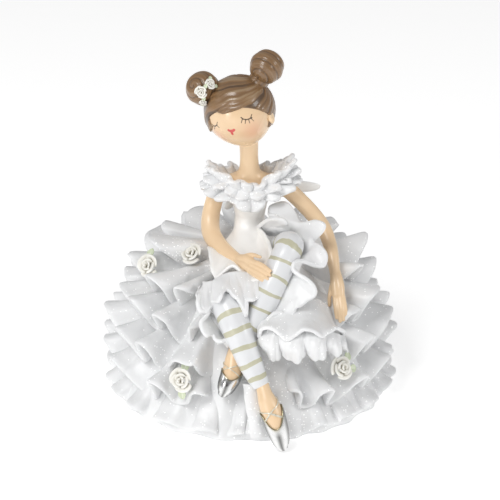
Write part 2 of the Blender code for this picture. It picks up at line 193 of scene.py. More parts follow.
def piece(name, bm, material, wall=0.0, smoothing=0):
    """Makes a bmesh one painted piece of the casting, with a wall and smoothing where they are given."""
    if not wall:
        bmesh.ops.holes_fill(bm, edges=bm.edges)
    bmesh.ops.recalc_face_normals(bm, faces=bm.faces)
    obj = formed(name, bm)
    obj.data.materials.append(material)
    obj.data.shade_smooth()
    if wall:
        thick = obj.modifiers.new("wall", "SOLIDIFY")
        thick.thickness = wall * MM
        thick.offset = 0.0
    if smoothing:
        soft = obj.modifiers.new("soft", "SUBSURF")
        soft.levels = smoothing
        soft.render_levels = smoothing
    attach(obj, "root")
    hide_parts("ballerina_figurine")


def coat(tree, colour, gloss, roughness, height, relief, varnish=(0.0, 0.0), others=None):
    """A paint's surface: roughness runs between two values with gloss, relief is a strength and a depth in
    millimetres, varnish is a weight and a roughness, and the others go to the shader as they are."""
    rough = add(tree, "ShaderNodeMapRange", {"Value": gloss, "To Min": roughness[0], "To Max": roughness[1]})
    bump = add(tree, "ShaderNodeBump", {"Height": height, "Strength": relief[0], "Distance": relief[1] * MM})
    surface = add(tree, "ShaderNodeBsdfPrincipled", {
        "Base Color": colour, "Roughness": rough.outputs["Result"], "Normal": bump.outputs[0], "IOR": 1.5,
        "Coat Weight": varnish[0], "Coat Roughness": varnish[1], **(others or {}),
    })
    add(tree, "ShaderNodeOutputMaterial", {"Surface": surface.outputs[0]})
    return bump


# Cast polyresin, sprayed satin white and varnished: the paint is mottled a little greyer in places and the
# varnish gives a soft sheen. The glitter flakes, 0.3 mm across and here drawn at 0.5 mm so that they show,
# lie thick in some places and thin in others, and are the brightest points of the surface: they are white and
# glow faintly, a painted glint.
# The clay under it was pressed by thumb, which leaves shallow dents about 7 mm apart.
glitter_resin, tree, place = blank("cast_resin_white_glitter_varnish")
cloud, tone = mottled(tree, place, 16.7, 4.0, "E4E5E6", "F2F2F2", Roughness=0.6)
flakes = add(tree, "ShaderNodeTexVoronoi", {"Vector": place, "Scale": every(0.769)})
flake_kind = add(tree, "ShaderNodeSeparateColor", {"Color": flakes.outputs["Color"]})
dusting = add(tree, "ShaderNodeTexNoise", {"Vector": place, "Scale": every(18.2), "Detail": 2.0})
thick = add(tree, "ShaderNodeMapRange", {
    "Value": dusting.outputs["Fac"], "From Min": 0.42, "From Max": 0.66, "To Min": 0.985, "To Max": 0.80,
})
flake_there = add(tree, "ShaderNodeMath", {0: flake_kind.outputs[0], 1: thick.outputs["Result"]},
                  operation="GREATER_THAN")
flake_small = add(tree, "ShaderNodeMath", {0: flakes.outputs["Distance"], 1: 0.34}, operation="LESS_THAN")
flake = add(tree, "ShaderNodeMath", {0: flake_there.outputs[0], 1: flake_small.outputs[0]},
            operation="MULTIPLY")
# Each flake glows faintly with a strength of its own: a painted glint that stands for the light it catches.
glint_strength = add(tree, "ShaderNodeMath", {0: flake_kind.outputs[1], 1: 0.5}, operation="MULTIPLY")
painted_glint = add(tree, "ShaderNodeMath", {0: flake.outputs[0], 1: glint_strength.outputs[0]}, operation="MULTIPLY")
sprayed = add(tree, "ShaderNodeMix", {0: flake.outputs[0], 6: tone, 7: WHITE}, data_type="RGBA")
brush = add(tree, "ShaderNodeTexNoise", {"Vector": place, "Scale": every(2.22), "Detail": 3.0})
relief = add(tree, "ShaderNodeMath", {0: flake.outputs[0], 1: 0.5, 2: brush.outputs["Fac"]},
             operation="MULTIPLY_ADD")
thumbed = add(tree, "ShaderNodeTexNoise", {"Vector": place, "Scale": every(6.67), "Detail": 1.0})
pressed = add(tree, "ShaderNodeBump", {"Height": thumbed.outputs["Fac"], "Strength": 0.4, "Distance": 2 * MM})
bump = coat(tree, sprayed.outputs[2], flake.outputs[0], (0.42, 0.15), relief.outputs[0], (0.3, 0.3),
            (0.15, 0.2), {"Emission Color": WHITE, "Emission Strength": painted_glint.outputs[0]})
tree.links.new(pressed.outputs[0], bump.inputs["Normal"])

# The mound's profile, as radii and heights from its rim on the floor to the waist, and how deep it is for
# its width; the first rows of its grid lie flat under the foot
MOUND = ((60, 0), (60.2, 2), (57, 9), (53, 18), (48, 29), (43, 39), (35, 51), (22, 61), (9, 67.5), (0, 69))
MOUND_TOP = MOUND[-1][1]
SKIRT_DEPTH = 0.96
FOOT_RADIUS = 58.5
FOOT_SHARE = 0.1


def mound_radius(height):
    """The mound's radius at a height."""
    for (r_low, z_low), (r_high, z_high) in zip(MOUND, MOUND[1:]):
        if z_low <= height <= z_high:
            return r_low + (r_high - r_low) * (height - z_low) / (z_high - z_low)
    return 0.0


def mound(u, v):
    """The dome from the middle of the foot, out to its rim and up to the waist."""
    angle = 2 * math.pi * u
    above = v > FOOT_SHARE
    height = max(0.0, (v - FOOT_SHARE) / (1 - FOOT_SHARE)) * MOUND_TOP
    radius = mound_radius(height) if above else FOOT_RADIUS * v / FOOT_SHARE
    drift = 1.3 * math.sin(2 * angle + 1) + math.sin(5 * angle)
    fold = 0.8 * math.cos(24 * angle + drift) + 0.4 * math.cos(15 * angle + 1)
    if above:
        radius += (fold - 0.9) * min(1.0, radius / 40)
    return at(radius * math.cos(angle), radius * math.sin(angle) * SKIRT_DEPTH, height)


piece("skirt_mound", sheet(220, 60, mound, closed=True), glitter_resin)


# The ruffles: rings of gathered cloth, one above the other round the dome, carved in clay for the
# mould, so each is a thick sheet of the same resin whose hem swings out and up in round folds, with
# tight valleys between them. All but the lowest are open in front, where the legs come through.
CLAY_SEED = 4  # noise_vector, the clay's slight unevenness, takes its offsets from the seed
noise.seed_set(CLAY_SEED)
RUFFLE_WALL = 2.1
RUFFLE_ROWS = 10
COLUMNS_PER_FOLD = 12
SEAM_SUNK = 2.5  # how far the seam lies inside the mound
TUCK = 7.0  # how far the two ends of an open ring turn in, and the angle over which they do
TUCK_ANGLE = math.radians(3.5)
HEM_ROLL = 0.82  # the share of the way down from which the hem turns up and out
WANDER = 1.5  # how far the folds run off an even spacing, in radians of a fold
CLAY_UNEVEN = 0.5  # how far the hem's clay is off its line, in millimetres


def crest(fold):
    """Across one fold of carved cloth: a full round crest and a tighter valley, from 1 down to -1."""
    return 0.4 * math.cos(fold) + 0.6 * (2 * abs(math.cos(fold / 2))**1.2 - 1)


def flounce(name, seam, hem, folds, swing, lift, arc, phase):
    """A ring of gathered cloth from its seam to its hem, each a radius and a height; its folds swing out and
    lift by so much, and phase makes one ring's folds unlike the next one's."""
    start, end = (math.radians(a) for a in arc)
    turns = (end - start) / (2 * math.pi)
    whole = turns > 0.99

    def place(u, v):
        angle = start + (end - start) * u
        drift = WANDER * (math.sin(2 * angle + phase) + 0.9 * math.sin(3 * angle + 2.3 * phase)
                          + 0.65 * math.sin(7 * angle + 1.1 * phase))
        fold = folds * angle + phase + drift
        round_trip = Vector((math.cos(angle), math.sin(angle), 0)) * folds * 0.17
        size = max(0.3, 1 + 0.8 * noise.noise(round_trip + Vector((phase, 0, 0))))
        lean = noise.noise(round_trip + Vector((0, phase, 5))) * 2.0
        grown = size * (0.15 * v + 0.85 * v**1.6)
        ripple = math.sin(fold * 2.6 + 4 * math.sin(angle * 5 + phase)) * 0.22 * v**2
        wave = grown * (crest(fold) - 0.1) + ripple
        roll = max(0.0, v - HEM_ROLL) * 5
        radius = seam[0] + (hem[0] - seam[0]) * (0.6 * v + 0.4 * v * v) + swing * wave + 0.5 * roll
        height = seam[1] + (hem[1] - seam[1]) * (1.15 * v - 0.15 * v * v) + lift * wave + 0.4 * roll
        if not whole:
            radius -= TUCK * v * math.exp(-min(angle - start, end - angle) / TUCK_ANGLE)
        slide = lean * (1 + math.cos(fold)) * 0.6 + 0.65 * math.sin(2 * fold)
        around = angle + v**1.3 * slide / folds
        spot = Vector((radius * math.cos(around), radius * math.sin(around) * SKIRT_DEPTH, height))
        spot += noise.noise_vector(spot * 0.13 + Vector((0, 0, phase))) * CLAY_UNEVEN * v
        return at(spot.x, spot.y, max(spot.z, RUFFLE_WALL / 2))

    bm = sheet(int(folds * turns * COLUMNS_PER_FOLD), RUFFLE_ROWS, place, closed=whole)
    piece(name, bm, glitter_resin, wall=RUFFLE_WALL, smoothing=1)


# Each ring: the height of its seam, the radius and height of its hem, its folds in a whole turn, how far
# they swing and lift, the arc that it covers in degrees, counted from the figure's left side, and its phase
for name, height, hem, folds, swing, lift, arc, phase in (
    ("ruffle_hem", 24, (61.2, 3.4), 21, 2.7, 2.4, (-90, 270), 0.4),
    ("ruffle_1", 33, (60.4, 15.5), 22, 4.4, 6.4, (-72, 248), 2),
    ("ruffle_2", 46, (58.4, 29.5), 20, 4.7, 7.4, (-50, 252), 4.4),
    ("ruffle_3", 56, (52.6, 42.5), 18, 4.7, 7.4, (-48, 246), 4),
    ("ruffle_4", 62.5, (47.2, 54), 15, 4.5, 6.8, (-24, 234), 3.1),
    ("ruffle_5", 66.5, (38.6, 63.5), 12, 4.2, 5.8, (10, 206), 5.2),
):
    flounce(name, (mound_radius(height) - SEAM_SUNK, height), hem, folds, swing, lift, arc, phase)


# The legs in striped stockings: round limbs of the casting that come out from under the ruffles, the
# left crossed behind the right. They are painted glossy white, with stripes of pale gold paint
# drawn round them by hand.
END_SHARE = 0.06  # the share of a limb's rows, at either end, that draws it in round
ROUND_END = 0.0682  # how far past 0 and 1 those rows run


def held(number):
    """A number held between 0 and 1."""
    return min(max(number, 0.0), 1.0)


def along(points, share):
    """The place at a share of the way along a smooth curve through the points."""
    points = [Vector(p) for p in points]
    spans = len(points) - 1
    whole = held(share) * spans
    i = min(int(whole), spans - 1)
    t = whole - i
    b, c = points[i], points[i + 1]
    a = points[i - 1] if i > 0 else b * 2 - c
    d = points[i + 2] if i + 2 <= spans else c * 2 - b
    return 0.5 * (2 * b + (c - a) * t + (2 * a - 5 * b + 4 * c - d) * t**2 + (3 * b - a - 3 * c + d) * t**3)


def course(points, share):
    """Which way a smooth curve runs at a share of its length."""
    return (along(points, min(share + 0.01, 1)) - along(points, max(share - 0.01, 0))).normalized()


def girth(radii, share):
    """A limb's radius at a share of its length."""
    return along([(r, 0, 0) for r in radii], share).x


def limb_place(points, radii, axis, angle, share, proud=0.0):
    """A point round a limb, at an angle from the side that looks along axis, and standing off by proud."""
    centre = along(points, share)
    way = course(points, share)
    side = way.cross(Vector(axis)).normalized()
    up = side.cross(way)
    radius = girth(radii, share) + proud
    return at(*(centre + side * radius * math.cos(angle) + up * radius * math.sin(angle)))


def limb_share(v):
    """The share of a limb's length that a share of its grid's rows stands for; the ends run past 0 and 1."""
    return (v - END_SHARE) / (1 - 2 * END_SHARE)


def limb(points, radii, axis, columns, rows, marks=None, blunt=0.8):
    """A closed round limb through the points, its ends drawn in round, or flatter where blunt is less."""
    def place(u, v):
        past = limb_share(v)
        end = held(max(-past, past - 1) / ROUND_END)
        radius = [r * math.sqrt(1 - end**2) for r in radii]
        share = held(past)
        push = girth(radii, share) * end * (1 if v > 0.5 else -1) * MM * blunt
        return limb_place(points, radius, axis, 2 * math.pi * u, share) + course(points, share) * push

    return sheet(columns, rows, place, closed=True, marks=marks)


# Brush-painted stockings on the casting: gloss white acrylic with hand-drawn stripes, whose edges
# waver by a tenth of a millimetre and whose gold is thin enough to let the white through.
stocking_paint, tree, place = blank("painted_stocking_gloss_white_gold_stripes")
stripe = add(tree, "ShaderNodeAttribute", attribute_name="stripe_edge")
waver = add(tree, "ShaderNodeTexNoise", {"Vector": place, "Scale": every(2.38), "Detail": 3.0})
edge = add(tree, "ShaderNodeMath", {0: waver.outputs["Fac"], 1: 0.55, 2: stripe.outputs["Fac"]},
           operation="MULTIPLY_ADD")
inside = add(tree, "ShaderNodeMapRange", {"Value": edge.outputs[0], "From Min": 0.36, "From Max": 0.20})
gold = mottled(tree, place, 6.25, 4.0, "B0AD90", "D2CFB8")[1]
thin, white = mottled(tree, place, 6.25, 4.0, "DCDDDF", "E9EAEB")
tone = add(tree, "ShaderNodeMix", {0: inside.outputs["Result"], 6: white, 7: gold}, data_type="RGBA")
relief = add(tree, "ShaderNodeMath", {0: inside.outputs["Result"], 1: 0.6, 2: thin}, operation="MULTIPLY_ADD")
coat(tree, tone.outputs[2], inside.outputs["Result"], (0.28, 0.42), relief.outputs[0], (0.3, 0.25),
     (0.25, 0.12))

# Each leg: its middle line, its half widths, where its stripes lie as shares of its length, and their
# half width
LEGS = {
    "right": (
        [(-5, 2, 50), (-11, -18, 50.5), (-12.6, -31, 53), (-10.3, -39.4, 55.6), (-5.8, -47, 48.6),
         (-2.5, -51, 41), (0.8, -54.3, 33.5), (4.6, -57.2, 26.6)],
        [6, 6.4, 6.3, 6.4, 6.2, 5.6, 4.9, 3.6],
        (0.26, 0.40, 0.515, 0.608, 0.72, 0.838, 0.943), 0.95,
    ),
    "left": (
        [(5, 2, 55), (11, -10.5, 64.5), (16.4, -24.5, 75), (13.4, -31.5, 70.4), (9.1, -37, 62.6),
         (5, -41, 54), (0, -44.5, 45.6), (-4.1, -46, 38), (-5.8, -46.5, 33.6)],
        [6, 6.2, 6, 5.9, 5.7, 5.4, 4.6, 3.8, 3.2],
        (0.215, 0.30, 0.385, 0.468, 0.548, 0.635, 0.73, 0.82, 0.90), 0.65,
    ),
}
STRIPE_STEPS = 200


def striped(points, stripes, half_width):
    """How far a point of the limb is from the edge of the nearest stripe."""
    steps = [along(points, i / STRIPE_STEPS) for i in range(STRIPE_STEPS + 1)]
    run = [0.0]
    for a, b in zip(steps, steps[1:]):
        run.append(run[-1] + (b - a).length)

    def mark(u, v):
        share = held(limb_share(v))
        here = run[int(share * STRIPE_STEPS)] + (share * STRIPE_STEPS % 1) * (run[-1] / STRIPE_STEPS)
        here += 0.25 * math.sin(4 * math.pi * u + share * 30)
        return min(abs(here - run[int(s * STRIPE_STEPS)]) for s in stripes) - half_width

    return mark


for side, (points, radii, stripes, half_width) in LEGS.items():
    marks = {"stripe_edge": striped(points, stripes, half_width)}
    piece(f"{side}_stocking", limb(points, radii, (1, 0, 0), 48, 200, marks, blunt=0.25), stocking_paint)


# The bare feet in ballet shoes: the feet are cast with the legs and painted skin colour; each shoe is
# a thin raised shell over the toes, sides and sole, painted silver, with two crossed silver ribbons
# over the instep.

# Skin: peach acrylic sprayed over the resin and gloss varnished, a little warmer in places.
skin_paint, tree, place = blank("painted_skin_gloss_peach")
cloud, tone = mottled(tree, place, 14.3, 3.0, "EAC89F", "F1D6B2")
brush = add(tree, "ShaderNodeTexNoise", {"Vector": place, "Scale": every(3.33), "Detail": 2.0})
coat(tree, tone, brush.outputs["Fac"], (0.3, 0.38), brush.outputs["Fac"], (0.12, 0.2), (0.3, 0.15))


def laid_over(tree, under, over, attribute, none=0.0, full=1.0, most=1.0):
    """Lays a colour over a paint, from none of it to the most as an attribute of the points reaches full."""
    kept = add(tree, "ShaderNodeAttribute", attribute_name=attribute)
    share = add(tree, "ShaderNodeMapRange", {
        "Value": kept.outputs["Fac"], "From Min": none, "From Max": full, "To Max": most,
    })
    tone = add(tree, "ShaderNodeMix", {0: share.outputs["Result"], 6: under, 7: linear(over)},
               data_type="RGBA")
    return tone.outputs[2]


# Silver: metallic paint brushed on thick, bright where it is smooth, with fine brush lines, a painted dark
# reflection along the top of the toes and painted shade down the sides, and with a warm rim where the brown
# undercoat shows.
silver_paint, tree, place = blank("painted_silver_metallic")
lines, bright = mottled(tree, place, 3.85, 4.0, "D2D2D2", "F8F8F7", Distortion=0.6)
shaded = laid_over(tree, bright, "5E5E5C", "reflection_shade")
tone = laid_over(tree, shaded, "A39B7E", "rim_wear")
coat(tree, tone, lines, (0.14, 0.28), lines, (0.25, 0.3), others={"Metallic": 1.0})

# The ribbons: the same silver mixed with cream, so they look pale, with a fine glitter.
ribbon_paint, tree, place = blank("painted_ribbon_pale_silver")
lines, tone = mottled(tree, place, 1.43, 2.0, "C9C1A6", "F6F3EA")
coat(tree, tone, lines, (0.2, 0.4), lines, (0.3, 0.2), others={"Metallic": 0.35})

# Each foot: its middle line from the ankle to the toes, its half widths, the shares at which the shoe's
# throat and its sides begin, and the ribbons as shares at their left and right ends
FEET = {
    "right": (
        [(5.1, -57.6, 26.8), (6, -59.6, 24), (7, -61, 21.5), (8.4, -62.3, 18.5), (9.5, -63.6, 16),
         (10.6, -64.6, 12.5), (11.6, -65.3, 9.5), (12.5, -65.8, 6.4), (13.2, -66, 3.6), (13.7, -66, 2.2)],
        [2.7, 3.1, 3.8, 4.3, 4.3, 4.15, 3.8, 3.3, 2.4, 1.2], 0.60, 0.33, ((0.30, 0.55), (0.56, 0.22)),
    ),
    "left": (
        [(-6.3, -46, 36.5), (-7, -47.6, 33.5), (-7.2, -49.3, 30.5), (-7.9, -51, 27.5), (-9.2, -52.6, 25),
         (-10.4, -53.8, 22.6), (-11.2, -54.4, 21)],
        [2.8, 3.3, 3.9, 3.9, 3.5, 2.7, 1.3], 0.60, 0.36, ((0.46, 0.20), (0.22, 0.56)),
    ),
}
SHOE_PROUD = 0.45
TOE_START = 0.97  # the share of the foot's length where the shoe's toe begins
TOE_ROWS = 0.84  # the share of a shoe's rows that lie before it
RIBBON_WIDTH = 0.022  # as a share of the foot's length
RIBBON_REACH = math.radians(210)
for side, (points, radii, throat, rim, ribbons) in FEET.items():
    piece(f"{side}_foot", limb(points, radii, (1, 0, 0), 40, 60), skin_paint)

    def shoe(u, v):
        angle = 2 * math.pi * u
        edge = rim + (throat - rim) * max(0.0, math.cos(angle))**1.6
        end = held((v - TOE_ROWS) / (1 - TOE_ROWS))
        share = edge + (TOE_START - edge) * min(v / TOE_ROWS, 1.0)
        tip = limb_place(points, radii, (1, 0, 0), angle, share, SHOE_PROUD)
        middle = limb_place(points, [0.0] * len(radii), (1, 0, 0), angle, share)
        ahead = (Vector(points[-1]) - Vector(points[-2])).normalized() * girth(radii, TOE_START) * MM
        return middle + (tip - middle) * math.sqrt(1 - end * end) + ahead * end * 1.1

    def reflection_shade(u, v):
        """Painted light on the silver: a dark reflection in a strip along the top of the foot, and shade down
        its sides.
        """
        off_top = 0.5 - abs(u - 0.5)
        return max(0.9 * math.exp(-(off_top / 0.04)**2) * min(1.0, v * 4),
                   0.75 * held((off_top - 0.12) / 0.05))

    marks = {"reflection_shade": reflection_shade, "rim_wear": lambda u, v: max(0.0, 1 - v / 0.1)}
    bm = sheet(40, 24, shoe, closed=True, marks=marks)
    piece(f"{side}_shoe", bm, silver_paint, wall=0.5, smoothing=1)
    for i, (from_share, to_share) in enumerate(ribbons):
        def ribbon(u, v):
            angle = (u - 0.5) * RIBBON_REACH
            share = from_share + (to_share - from_share) * u + (v - 0.5) * RIBBON_WIDTH
            return limb_place(points, radii, (1, 0, 0), angle, share, 0.2 + 0.15 * i)

        piece(f"{side}_ribbon_{i + 1}", sheet(40, 4, ribbon), ribbon_paint, wall=0.35, smoothing=1)


# The bodice: chest, waist and hips are one smooth form of the casting, painted pearl white, and the
# neck and shoulders above it are painted skin colour.

# Pearl white acrylic, brushed satin, warmer than the skirt and without glitter.
pearl_paint, tree, place = blank("painted_bodice_pearl_white")
cloud, tone = mottled(tree, place, 12.5, 4.0, "F6F5F2", "FDFCFA")
coat(tree, tone, cloud, (0.3, 0.42), cloud, (0.2, 0.4), (0.2, 0.2))

# Sections of the body: height, middle forward or back, half width and half depth
BODY = ((54, -3, 13, 13), (59, -2, 10.5, 11), (64, 0, 7.8, 8.4), (69, 1.5, 6.2, 6.2), (74.5, 2, 5.5, 5.2),
        (80, 2, 6.3, 5.4), (85, 2, 7.6, 5.8), (89, 2.4, 10.8, 6.2), (92.5, 3, 12.6, 6.2), (95, 3, 10, 5.2),
        (97, 2.6, 5.8, 4.6), (99.5, 2.2, 4.3, 4.2), (104.5, 1.2, 3.9, 3.9), (110, 0.2, 4, 4),
        (119, -0.6, 4.2, 4.2))


def body(share, angle, proud=0.0):
    """A place round the body at a share of the way up its sections."""
    middle, across, deep = along([s[1:] for s in BODY], share)
    lean = -1.6 * max(0.0, share - 0.62)
    return at((across + proud) * math.cos(angle) + lean, middle + (deep + proud) * math.sin(angle),
              along([(s[0], 0, 0) for s in BODY], share).x)


bm = sheet(48, 30, lambda u, v: body(v * 0.60, 2 * math.pi * u, 0.25), closed=True)
piece("bodice", bm, pearl_paint, wall=0.4, smoothing=1)
bm = sheet(72, 60, lambda u, v: body(0.5 + v * 0.5, 2 * math.pi * u), closed=True)
piece("neck", bm, skin_paint)


# The overskirt: a lap cloth that runs on from the bodice, a ruffle under it, a frill that stands up
# round the left knee and a gathered front below it, each a sheet of resin whose hem is bent into loops.
SHEET_WALL = 1.8
SHEET_ROWS = 12

# Each sheet: its rails from the seam to the hem, each a line of places from one side to the other, then
# how finely it is divided, its paint, and its pleats' number and depth
SHEETS = {
    "lap_cloth": (
        [[(5.1, 2.7, 82), (4.7, 0.2, 82), (3, -1.5, 82), (0, -2.3, 82), (-3, -1.5, 82), (-4.7, 0.2, 82),
          (-5.1, 2.7, 82)],
         [(5.8, 1.5, 75.5), (5.2, -1.4, 75), (3.4, -2.8, 75), (0, -3.7, 75), (-3.4, -2.8, 75),
          (-5.4, -0.4, 75), (-5.9, 3, 75)],
         [(4.4, -3.5, 74), (5.2, -8.5, 72.5), (3.4, -11.5, 69.5), (-0.6, -12, 69), (-4.4, -10.5, 69.5),
          (-6.2, -7, 70), (-6.8, -1, 71)],
         [(4, -5, 74.5), (6.9, -16, 73.5), (7, -26, 70), (0.5, -27.5, 66), (-6, -25, 66.5), (-11, -20, 67),
          (-13.5, -10, 68)],
         [(3, -6, 74.5), (5, -12, 74.8), (7.5, -21, 75), (8.7, -28.5, 74.5), (9, -33, 73), (8.5, -35.4, 71),
          (7.2, -37, 68.5), (5, -38, 65.8), (2, -37.5, 64.3), (-1, -36, 64), (-3.5, -33.5, 65.8),
          (-7.5, -30.5, 68.5), (-11, -32, 66), (-14, -33.5, 63.5), (-15.5, -31, 64.5), (-16.5, -28, 66.5),
          (-17.5, -18, 69), (-18.5, -11, 68)]],
        150, pearl_paint, 0, 0,
    ),
    "under_ruffle": (
        [[(5, -31, 66), (0, -32, 66), (-5, -33, 67), (-9, -33, 66), (-13.5, -33, 64), (-17.5, -34, 63),
          (-19.5, -33, 62)],
         [(5, -38, 64), (3.5, -42, 62), (2.5, -44, 59.5), (0.5, -46, 59), (-1, -48, 56.5),
          (-1.5, -49, 53.5), (-3, -47, 56.5), (-5, -46, 60), (-7.5, -46, 61.5), (-10, -44, 63),
          (-11.5, -47, 62.5), (-13, -47, 60), (-14.5, -45, 57), (-16, -45, 55), (-18.5, -46, 55),
          (-20.5, -45, 57), (-21.5, -43, 59), (-21, -40, 61)]],
        120, glitter_resin, 4.3, 1.5,
    ),
    "side_ruffle": (
        [[(-21, -34, 61), (-19.5, -38, 57), (-18, -41, 52.5), (-15, -43, 48), (-11.5, -44, 42),
          (-8.5, -46, 38)],
         [(-20.5, -42, 60.5), (-21.5, -46, 58.5), (-20.5, -47.5, 55.5), (-17, -46, 54.5),
          (-18, -46.5, 52.5), (-20, -48.5, 51), (-20, -50, 48.5), (-17.8, -50.5, 45.5), (-15.8, -48.5, 45),
          (-14.5, -50, 43.8), (-12, -51, 43.5), (-9.8, -50.5, 44), (-8, -51, 42.5)]],
        90, glitter_resin, 0, 0,
    ),
    "knee_frill": (
        [[(5, -3, 74), (8.5, -4, 71), (14.8, -8, 73), (21, -14, 72), (22.5, -20, 69), (20, -26, 67.5),
          (18.5, -30, 67), (15.5, -35.5, 62.5), (12.5, -38.5, 57.5), (9, -41.5, 52), (5, -44.5, 45.5)],
         [(4, -4, 74.5), (6.5, -6.5, 75), (12, -13, 78.5), (18.5, -13.5, 80), (24.5, -19, 77),
          (26, -23, 72.5), (21, -31, 70), (19.5, -35.5, 65.5), (20.5, -41, 60.5), (13, -44, 53.5),
          (5, -46.5, 46.8)],
         [(3, -5, 74.5), (5, -9, 78), (8, -13, 82.5), (11.5, -16, 84), (14.5, -18, 84), (16, -18, 82),
          (14.5, -14, 82), (11, -10, 83), (8, -7, 82.5), (8, -4, 84), (10.5, -2, 85), (14.5, -2, 85.5),
          (17.5, -4, 84.5), (19.5, -8, 82.5), (21, -12, 80.5), (23.5, -15, 80.5), (26.5, -17, 82.5),
          (29, -19, 84), (31.5, -21, 83.5), (31.5, -22, 81), (29.5, -21, 77.5), (27, -19, 75),
          (26.5, -20, 73.5), (29, -23, 74.5), (31, -26, 74), (32.5, -28, 71.5), (32, -29, 68),
          (29.5, -30, 67), (25.5, -31.5, 69.5), (22.5, -33, 72), (19.5, -35, 73), (17.5, -36.5, 72),
          (17.5, -38, 70), (20, -39.5, 68.5), (24, -41, 67), (26.5, -42, 65), (27.5, -43, 62.5),
          (26.5, -43.5, 60), (23.5, -44, 58), (21, -44.5, 56), (19, -45, 55.5), (18, -46, 53),
          (16.5, -47, 51.5), (14, -47, 52.5), (13, -46, 54.5), (10.5, -46, 54.5), (8, -47, 53),
          (6, -48, 51), (4.5, -49, 48)]],
        270, glitter_resin, 0, 0,
    ),
    "front_fan": (
        [[(2, -38, 51), (8, -38, 54), (15, -37, 55.5), (21, -35, 56), (26, -32, 54.5), (30, -29, 51),
          (34, -26, 46)],
         [(3.6, -45, 49.5), (9.5, -47.5, 51.5), (16, -48.5, 52), (22, -47.5, 51.5), (27, -44, 50),
          (32, -39, 46.5), (36, -32, 40)],
         [(3.6, -51.5, 45), (4.6, -54, 50), (8, -55.5, 51.5), (11.5, -57, 49.5), (15, -58, 47),
          (18.5, -57.5, 49), (22, -56.5, 51.5), (26, -56, 50.5), (29.5, -55.5, 47.5), (33, -52, 48),
          (36.5, -47, 47.5), (39.5, -41, 43), (39.5, -37, 39.5)]],
        130, glitter_resin, 0, 0,
    ),
    "front_puffs": (
        [[(4.6, -48, 48), (11, -51, 49), (18, -52, 48.5), (24, -51.5, 48.5), (30, -49, 47.5), (35, -44, 44),
          (39, -36.5, 39)],
         [(4.4, -53, 44), (10.5, -56, 45), (18, -57.5, 44.5), (24, -57, 44.5), (30, -54.5, 44),
          (35.5, -49, 41.5), (39.5, -39.5, 37)],
         [(5.5, -49.5, 37.5), (12, -53.5, 36.8), (19, -55, 37.5), (25, -54.5, 37.5), (31, -51.5, 37.5),
          (36.5, -45.5, 36), (40.5, -37.5, 33.5)]],
        120, glitter_resin, 4.4, 3.6,
    ),
    "front_fold": (
        [[(6, -49, 25), (7, -52, 19.5), (7.6, -54.5, 14), (8.4, -56.5, 9), (9.4, -58, 4)],
         [(1.5, -53.5, 25), (2.4, -56.5, 19.5), (3.4, -59, 14), (4, -60.6, 9), (5, -61.4, 4)],
         [(-3.2, -52.5, 25), (-2.2, -55.5, 19.5), (-1.2, -58, 14), (-0.6, -59.8, 9), (0.4, -60.8, 4)]],
        60, glitter_resin, 0, 0,
    ),
}
for name, (rails, columns, paint, pleats, proud) in SHEETS.items():
    def fall(u, v):
        spot = along([along(rail, u) for rail in rails], v)
        if pleats:
            turn = 2 * math.pi * pleats * u + 0.7 * math.sin(7 * u) + 3.0
            out = 2.2 * abs(math.cos(turn / 2))**0.6 - 1.7 + 0.18 * math.sin(2.7 * turn + 5 * v)
            spot += Vector((0.3, -0.9, -0.1)) * proud * out * v**0.6
            spot.z -= proud * out * max(0.0, v - 0.6)
        return at(*(spot + noise.noise_vector(spot * 0.2) * 0.4))

    piece(name, sheet(columns, SHEET_ROWS, fall), paint, wall=SHEET_WALL, smoothing=1)


# The arms and hands: round limbs cast with the body, the right hand laid in the lap and the left hanging
# beside the gathered front; palms and fingers run into one skin, painted as the neck is.
SKIN_VOXEL = 0.3
PALM_GIRTH = [1.9, 2.1, 1.6]
FINGER_GIRTH = [1.0, 0.92, 0.68]


def gather(forms):
    """Several bmeshes as one."""
    carrier = bpy.data.meshes.new("gathered")
    whole = bmesh.new()
    for form in forms:
        form.to_mesh(carrier)
        whole.from_mesh(carrier)
        form.free()
    bpy.data.meshes.remove(carrier)
    return whole


